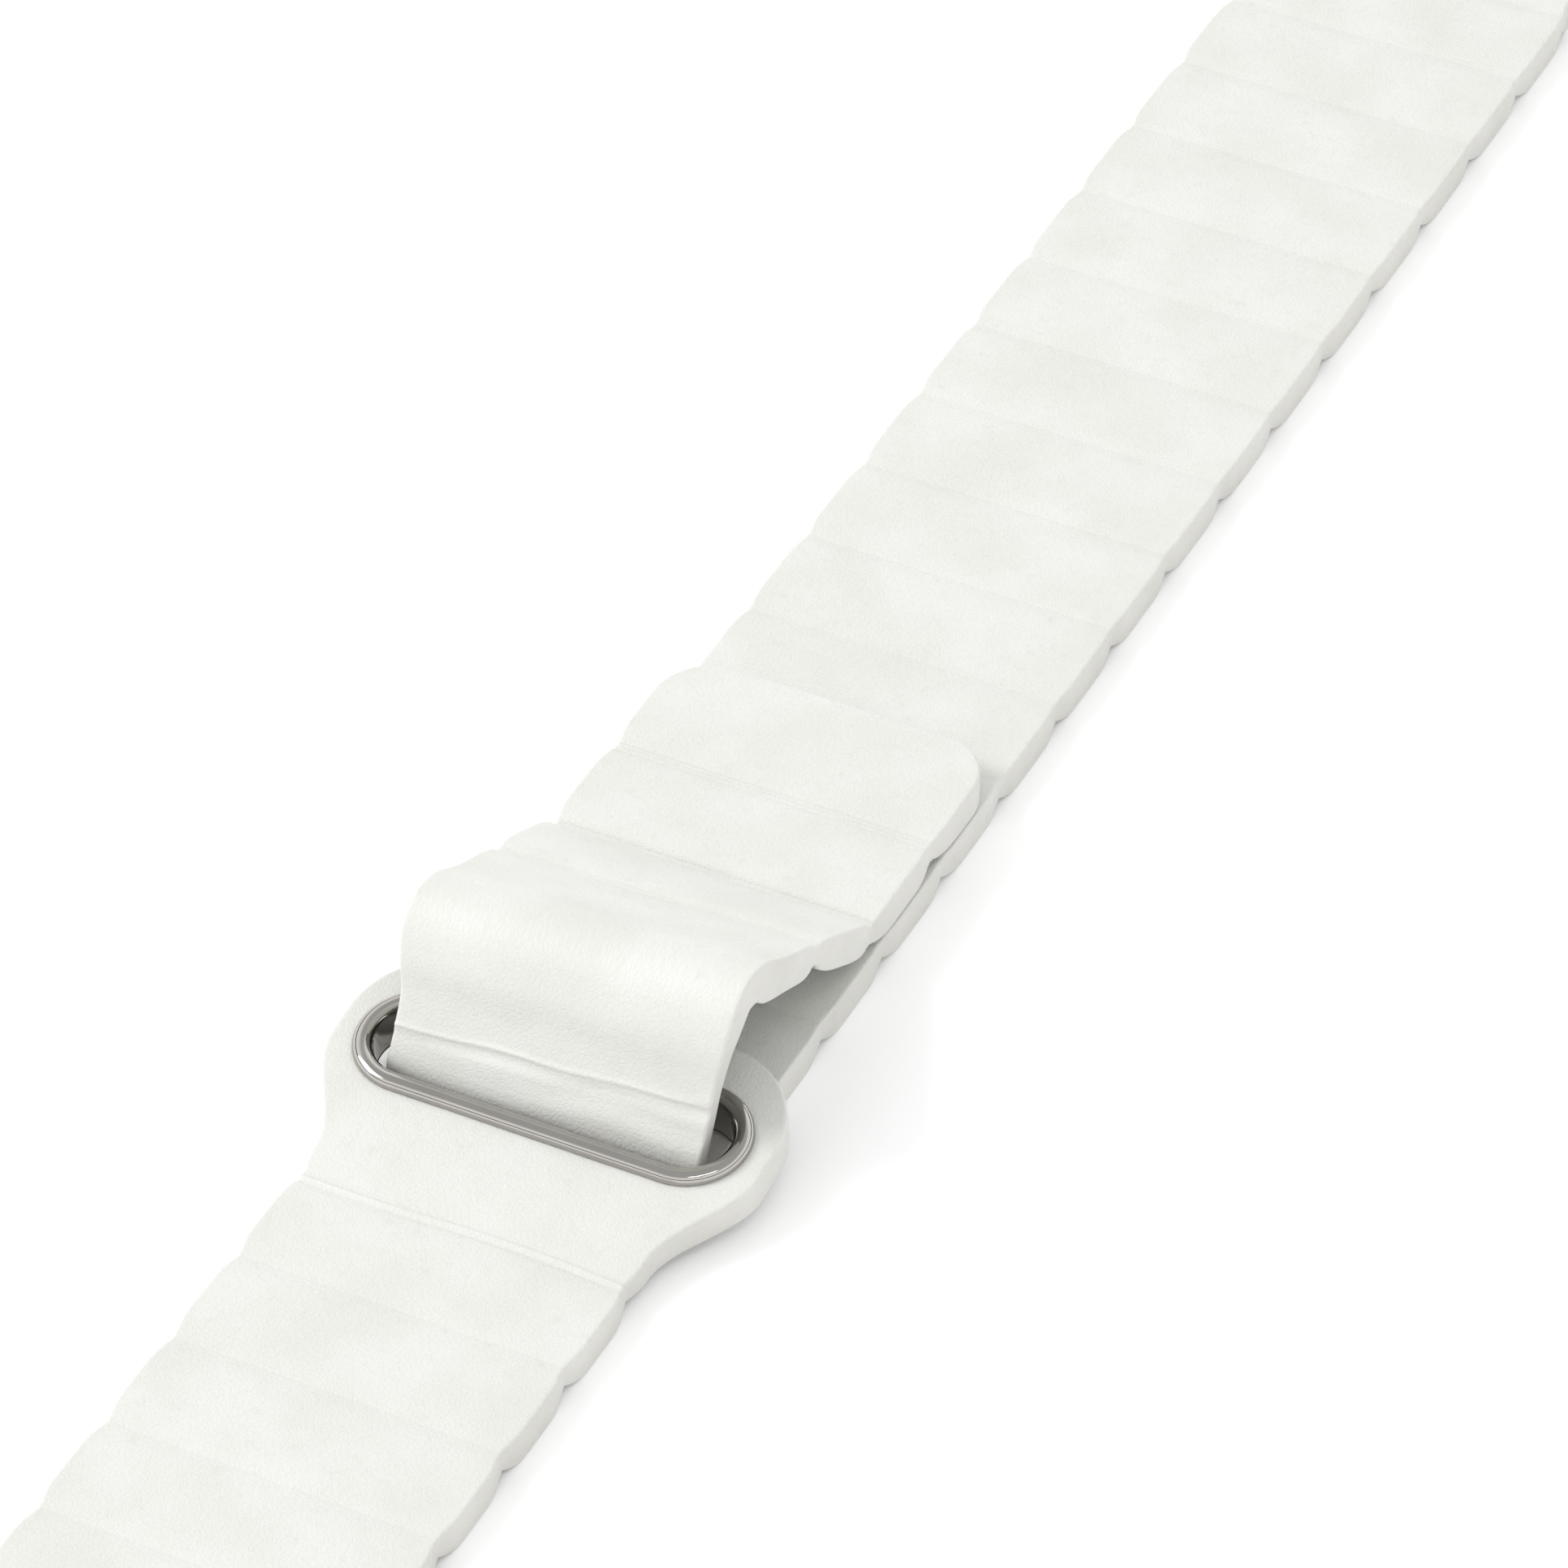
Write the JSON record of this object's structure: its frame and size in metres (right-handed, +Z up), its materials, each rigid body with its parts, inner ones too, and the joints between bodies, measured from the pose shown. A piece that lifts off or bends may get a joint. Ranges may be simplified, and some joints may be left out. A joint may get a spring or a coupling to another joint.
{
  "type": "watch strap",
  "caption": "Quilted leather watch strap whose end passes through a slotted head and folds back on itself, with a steel eyelet and quick-release ends.",
  "frame": {"origin": "middle of the strap's length and width, on the surface it lies on", "axes": "+Y along the long part, away from the head; +Z up, out of the strap's outer face; +X across the strap"},
  "size_m": [0.0276, 0.2156, 0.0116],
  "materials": {
    "white_leather": "matte, fine grain",
    "lining": "matte suede",
    "polished_steel": "polished",
    "magnet": "satin"
  },
  "bodies": {
    "loop_root": {"fold_panel": "white_leather", "long_cell_01": "white_leather", "long_cell_01_magnet": "magnet", "long_cell_02": "white_leather", "long_cell_02_magnet": "magnet", "long_cell_03": "white_leather", "long_cell_03_magnet": "magnet", "long_cell_04": "white_leather", "long_cell_04_magnet": "magnet"},
    "flap_cell_1": {"flap_cell_1": "white_leather", "flap_cell_1_magnet": "magnet"},
    "flap_cell_2": {"flap_cell_2": "white_leather", "flap_cell_2_magnet": "magnet"},
    "flap_cell_3": {"flap_cell_3": "white_leather", "flap_cell_3_magnet": "magnet"},
    "flap_tip": {"flap_tip": "white_leather", "flap_tip_magnet": "magnet"},
    "long_cell_05": {"long_cell_05": "white_leather", "long_cell_05_magnet": "magnet"},
    "long_cell_06": {"long_cell_06": "white_leather", "long_cell_06_magnet": "magnet"},
    "long_cell_07": {"long_cell_07": "white_leather", "long_cell_07_magnet": "magnet"},
    "long_cell_08": {"long_cell_08": "white_leather", "long_cell_08_magnet": "magnet"},
    "long_cell_09": {"long_cell_09": "white_leather", "long_cell_09_magnet": "magnet"},
    "long_cell_10": {"long_cell_10": "white_leather", "long_cell_10_magnet": "magnet"},
    "long_cell_11": {"long_cell_11": "white_leather", "long_cell_11_magnet": "magnet"},
    "long_cell_12": {"long_cell_12": "white_leather", "long_cell_12_magnet": "magnet"},
    "long_cell_13": {"long_cell_13": "white_leather", "long_cell_13_magnet": "magnet"},
    "long_cell_14": {"long_cell_14": "white_leather", "long_cell_14_magnet": "magnet"},
    "long_cell_15": {"long_cell_15": "white_leather", "long_cell_15_magnet": "magnet"},
    "long_end": {"long_end_loop": "white_leather", "long_spring_bar": "polished_steel"},
    "long_tip": {"long_sliding_tip": "polished_steel"},
    "head": {"head_leather": "white_leather", "head_lining": "lining", "eyelet": "polished_steel", "eyelet_ring": "polished_steel"},
    "short_cell_1": {"short_cell_1": "white_leather"},
    "short_cell_2": {"short_cell_2": "white_leather"},
    "short_cell_3": {"short_cell_3": "white_leather"},
    "short_cell_4": {"short_cell_4": "white_leather"},
    "short_cell_5": {"short_cell_5": "white_leather"},
    "short_cell_6": {"short_cell_6": "white_leather"},
    "short_cell_7": {"short_cell_7": "white_leather"},
    "short_end": {"short_end_loop": "white_leather", "short_spring_bar": "polished_steel"},
    "short_tip": {"short_sliding_tip": "polished_steel"}
  },
  "joints": [
    {"name": "flap_cell_1_lift", "type": "hinge", "parent": "loop_root", "child": "flap_cell_1", "pos_m": [0, -0.02782, 0.01017], "axis": [1, 0, 0], "range_deg": [0, 25]},
    {"name": "flap_cell_2_lift", "type": "hinge", "parent": "flap_cell_1", "child": "flap_cell_2", "pos_m": [0, -0.01988, 0.00743], "axis": [1, 0, 0], "range_deg": [0, 25]},
    {"name": "flap_cell_3_lift", "type": "hinge", "parent": "flap_cell_2", "child": "flap_cell_3", "pos_m": [0, -0.01233, 0.00375], "axis": [1, 0, 0], "range_deg": [0, 25]},
    {"name": "flap_tip_lift", "type": "hinge", "parent": "flap_cell_3", "child": "flap_tip", "pos_m": [0, -0.00393, 0.00375], "axis": [1, 0, 0], "range_deg": [0, 25]},
    {"name": "long_cell_05_bend", "type": "hinge", "parent": "loop_root", "child": "long_cell_05", "pos_m": [0, 0.00615, 0.00115], "axis": [1, 0, 0], "range_deg": [-18, 12]},
    {"name": "long_cell_06_bend", "type": "hinge", "parent": "long_cell_05", "child": "long_cell_06", "pos_m": [0, 0.01455, 0.00115], "axis": [1, 0, 0], "range_deg": [-18, 12]},
    {"name": "long_cell_07_bend", "type": "hinge", "parent": "long_cell_06", "child": "long_cell_07", "pos_m": [0, 0.02295, 0.00115], "axis": [1, 0, 0], "range_deg": [-18, 12]},
    {"name": "long_cell_08_bend", "type": "hinge", "parent": "long_cell_07", "child": "long_cell_08", "pos_m": [0, 0.03135, 0.00115], "axis": [1, 0, 0], "range_deg": [-18, 12]},
    {"name": "long_cell_09_bend", "type": "hinge", "parent": "long_cell_08", "child": "long_cell_09", "pos_m": [0, 0.03975, 0.00115], "axis": [1, 0, 0], "range_deg": [-18, 12]},
    {"name": "long_cell_10_bend", "type": "hinge", "parent": "long_cell_09", "child": "long_cell_10", "pos_m": [0, 0.04815, 0.00115], "axis": [1, 0, 0], "range_deg": [-18, 12]},
    {"name": "long_cell_11_bend", "type": "hinge", "parent": "long_cell_10", "child": "long_cell_11", "pos_m": [0, 0.05655, 0.00115], "axis": [1, 0, 0], "range_deg": [-18, 12]},
    {"name": "long_cell_12_bend", "type": "hinge", "parent": "long_cell_11", "child": "long_cell_12", "pos_m": [0, 0.06495, 0.00115], "axis": [1, 0, 0], "range_deg": [-18, 12]},
    {"name": "long_cell_13_bend", "type": "hinge", "parent": "long_cell_12", "child": "long_cell_13", "pos_m": [0, 0.07335, 0.00115], "axis": [1, 0, 0], "range_deg": [-18, 12]},
    {"name": "long_cell_14_bend", "type": "hinge", "parent": "long_cell_13", "child": "long_cell_14", "pos_m": [0, 0.08175, 0.00115], "axis": [1, 0, 0], "range_deg": [-18, 12]},
    {"name": "long_cell_15_bend", "type": "hinge", "parent": "long_cell_14", "child": "long_cell_15", "pos_m": [0, 0.09015, 0.00115], "axis": [1, 0, 0], "range_deg": [-18, 12]},
    {"name": "long_end_bend", "type": "hinge", "parent": "long_cell_15", "child": "long_end", "pos_m": [0, 0.09855, 0.00115], "axis": [1, 0, 0], "range_deg": [-18, 12]},
    {"name": "long_tip_slide", "type": "slide", "parent": "long_end", "child": "long_tip", "axis": [-1, 0, 0], "range_m": [0, 0.0016], "stiffness_N_per_m": 400, "springref_m": -0.0005},
    {"name": "head_rock", "type": "hinge", "parent": "loop_root", "child": "head", "pos_m": [0, -0.02785, 0.0035], "axis": [1, 0, 0], "range_deg": [-6, 2]},
    {"name": "short_cell_1_bend", "type": "hinge", "parent": "head", "child": "short_cell_1", "pos_m": [0, -0.04465, 0.00115], "axis": [1, 0, 0], "range_deg": [-12, 18]},
    {"name": "short_cell_2_bend", "type": "hinge", "parent": "short_cell_1", "child": "short_cell_2", "pos_m": [0, -0.05235, 0.00115], "axis": [1, 0, 0], "range_deg": [-12, 18]},
    {"name": "short_cell_3_bend", "type": "hinge", "parent": "short_cell_2", "child": "short_cell_3", "pos_m": [0, -0.06005, 0.00115], "axis": [1, 0, 0], "range_deg": [-12, 18]},
    {"name": "short_cell_4_bend", "type": "hinge", "parent": "short_cell_3", "child": "short_cell_4", "pos_m": [0, -0.06775, 0.00115], "axis": [1, 0, 0], "range_deg": [-12, 18]},
    {"name": "short_cell_5_bend", "type": "hinge", "parent": "short_cell_4", "child": "short_cell_5", "pos_m": [0, -0.07545, 0.00115], "axis": [1, 0, 0], "range_deg": [-12, 18]},
    {"name": "short_cell_6_bend", "type": "hinge", "parent": "short_cell_5", "child": "short_cell_6", "pos_m": [0, -0.08315, 0.00115], "axis": [1, 0, 0], "range_deg": [-12, 18]},
    {"name": "short_cell_7_bend", "type": "hinge", "parent": "short_cell_6", "child": "short_cell_7", "pos_m": [0, -0.09085, 0.00115], "axis": [1, 0, 0], "range_deg": [-12, 18]},
    {"name": "short_end_bend", "type": "hinge", "parent": "short_cell_7", "child": "short_end", "pos_m": [0, -0.09855, 0.00115], "axis": [1, 0, 0], "range_deg": [-12, 18]},
    {"name": "short_tip_slide", "type": "slide", "parent": "short_end", "child": "short_tip", "axis": [1, 0, 0], "range_m": [0, 0.0016], "stiffness_N_per_m": 400, "springref_m": -0.0005}
  ]
}
